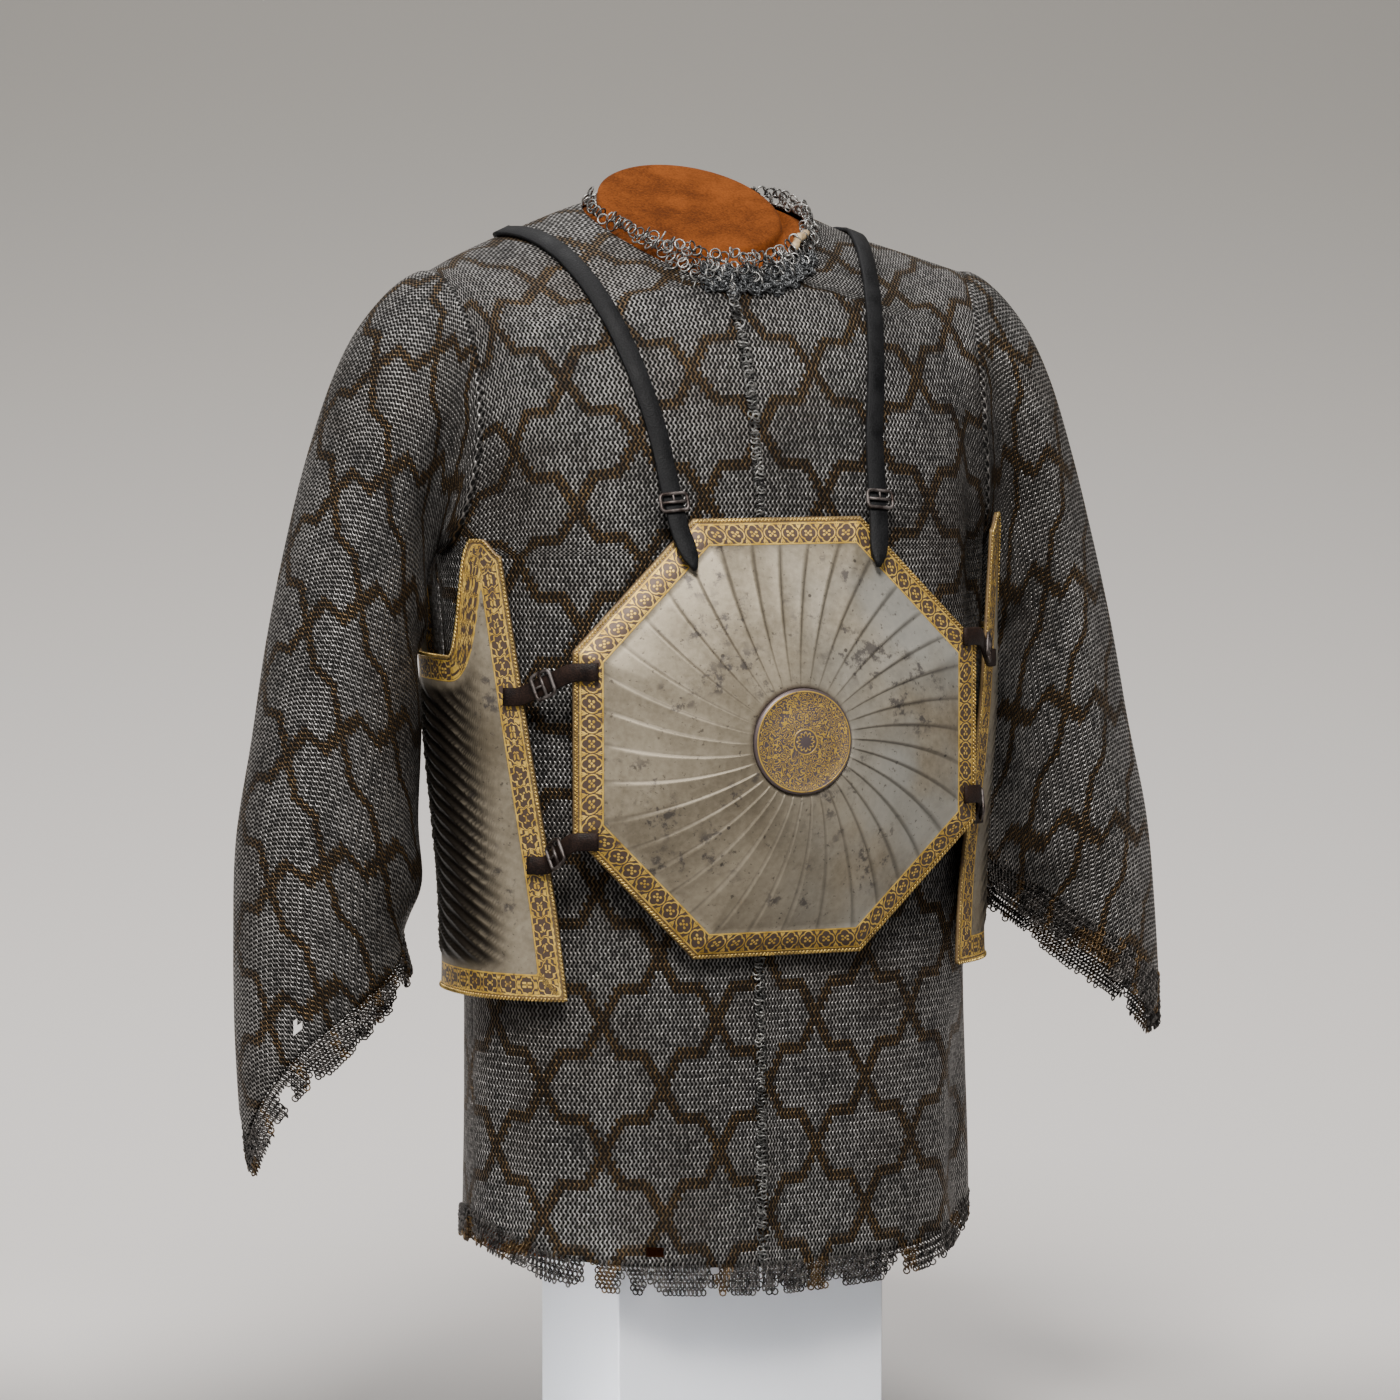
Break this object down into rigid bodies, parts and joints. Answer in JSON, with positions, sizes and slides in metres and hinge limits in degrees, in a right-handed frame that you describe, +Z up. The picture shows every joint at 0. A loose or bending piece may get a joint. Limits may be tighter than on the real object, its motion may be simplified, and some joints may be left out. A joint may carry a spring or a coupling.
{
  "type": "mail shirt and plate cuirass on a torso form with a plinth",
  "caption": "Sleeved mail shirt under a cuirass of fluted plates held by straps and buckles, worn by a limbless torso form on a plinth.",
  "frame": {"origin": "middle of the plinth's underside, on the floor", "axes": "+Z up; the wearer faces -Y; the wearer's left is +X"},
  "size_m": [0.6794, 0.3187, 0.9057],
  "materials": {
    "mail": "fine linked rings, aged steel with a lattice of brass rings",
    "collar_rings": "larger bright rings",
    "plate_steel": "fluted steel, patinated, with gilded borders",
    "gilding": "dark ground with gold scrollwork",
    "black_leather": "smooth, worn",
    "brown_leather": "worn",
    "iron": "dark forged",
    "suede": "brown suede covering",
    "plinth_paint": "pale grey paint, matt"
  },
  "bodies": {
    "root": {"plinth": "plinth_paint", "torso_form": "suede", "mail_front_right": "mail", "mail_front_left": "mail", "mail_back": "mail", "mail_sleeve_right": "mail", "mail_sleeve_left": "mail", "mail_collar": "collar_rings", "breast_plate": "plate_steel", "breast_medallion": "gilding", "back_plate": "plate_steel", "back_medallion": "gilding", "side_plate_right": "plate_steel", "shoulder_strap_right": "black_leather", "loop_front_right": "iron", "side_strap_upper_front_right": "brown_leather", "buckle_upper_front_right": "iron", "side_strap_lower_front_right": "brown_leather", "buckle_lower_front_right": "iron", "loop_back_right": "iron", "side_strap_upper_back_right": "brown_leather", "buckle_upper_back_right": "iron", "side_strap_lower_back_right": "brown_leather", "buckle_lower_back_right": "iron", "side_plate_left": "plate_steel", "shoulder_strap_left": "black_leather", "loop_front_left": "iron", "side_strap_upper_front_left": "brown_leather", "buckle_upper_front_left": "iron", "side_strap_lower_front_left": "brown_leather", "buckle_lower_front_left": "iron", "loop_back_left": "iron", "side_strap_upper_back_left": "brown_leather", "buckle_upper_back_left": "iron", "side_strap_lower_back_left": "brown_leather", "buckle_lower_back_left": "iron"}
  },
  "joints": []
}
